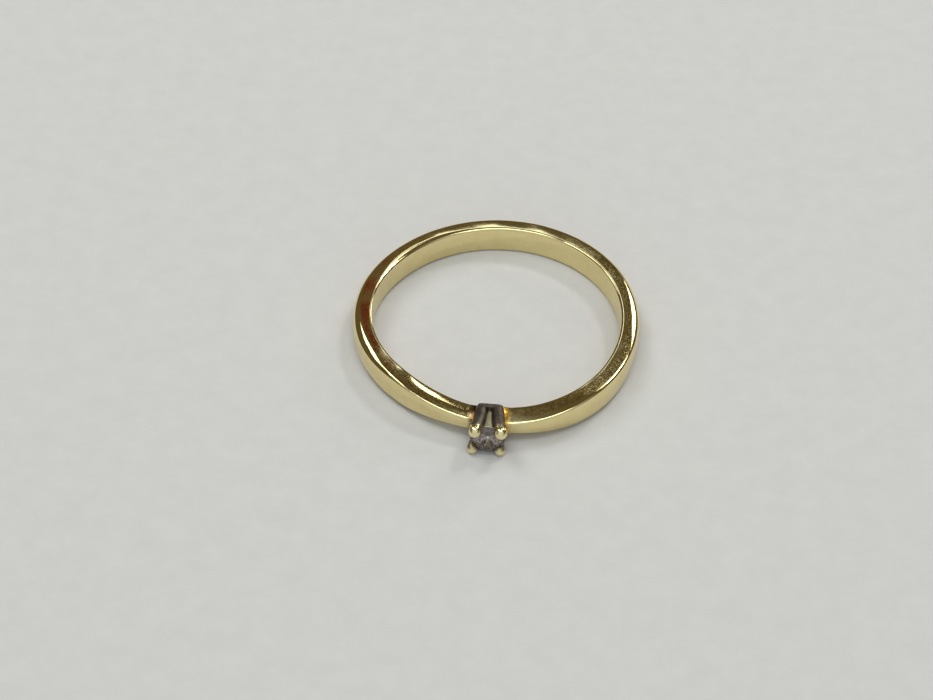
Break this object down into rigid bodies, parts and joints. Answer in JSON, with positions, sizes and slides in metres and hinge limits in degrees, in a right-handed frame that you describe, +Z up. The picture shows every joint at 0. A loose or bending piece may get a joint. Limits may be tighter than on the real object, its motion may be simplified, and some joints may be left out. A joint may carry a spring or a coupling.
{
  "type": "solitaire engagement ring",
  "caption": "Slim plain band that tapers at the shoulders to a raised claw-set head with a small round brilliant.",
  "frame": {"origin": "centre of the finger bore, halfway across the band's width", "axes": "+Z along the bore's axis, +Y away from the head (the head points along -Y), +X to the right as seen from the head's side with +Z up"},
  "size_m": [0.0196, 0.0212, 0.0024],
  "materials": {
    "yellow_gold": "polished 14 carat yellow gold, worn, fine scratches",
    "head_metal": "worn rhodium plating over gold, yellow at the claw tips",
    "gold_solder": "deeper yellow gold solder, smooth",
    "diamond": "faceted colourless stone"
  },
  "bodies": {
    "root": {"shank": "yellow_gold", "head_base": "head_metal", "head_gallery": "head_metal", "claw_upper_left": "head_metal", "claw_upper_right": "head_metal", "claw_lower_left": "head_metal", "claw_lower_right": "head_metal", "diamond": "diamond", "solder_joint_left": "gold_solder", "solder_joint_right": "gold_solder"}
  },
  "joints": []
}
